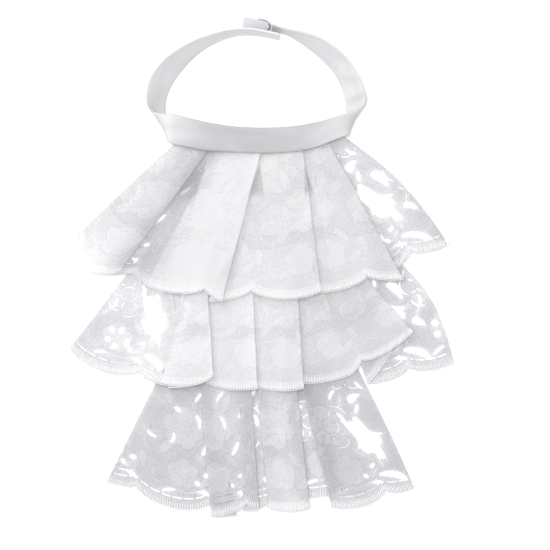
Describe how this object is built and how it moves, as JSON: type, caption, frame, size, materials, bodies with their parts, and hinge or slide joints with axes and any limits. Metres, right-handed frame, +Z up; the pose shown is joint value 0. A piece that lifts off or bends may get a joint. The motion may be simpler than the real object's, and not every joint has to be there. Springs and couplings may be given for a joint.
{
  "type": "lace jabot",
  "caption": "White lace jabot laid flat: a satin neckband closed in a loop by a wire hook, with pleated tiers of scalloped floral lace below it.",
  "frame": {"origin": "centre of the bounding box's base, on the surface that the jabot lies on", "axes": "+X across the jabot to the viewer's right, +Y from the lowest hem towards the nape of the neckband, +Z up from the surface"},
  "size_m": [0.3077, 0.3995, 0.0237],
  "materials": {
    "satin": "satin",
    "lace": "matte",
    "net": "matte",
    "wire": "satin"
  },
  "bodies": {
    "root": {"neckband": "satin", "closure_tab": "satin", "closure_hook": "wire", "net_panel": "net", "lace_tier_1": "lace", "lace_tier_2": "lace", "lace_tier_3": "lace"}
  },
  "joints": []
}
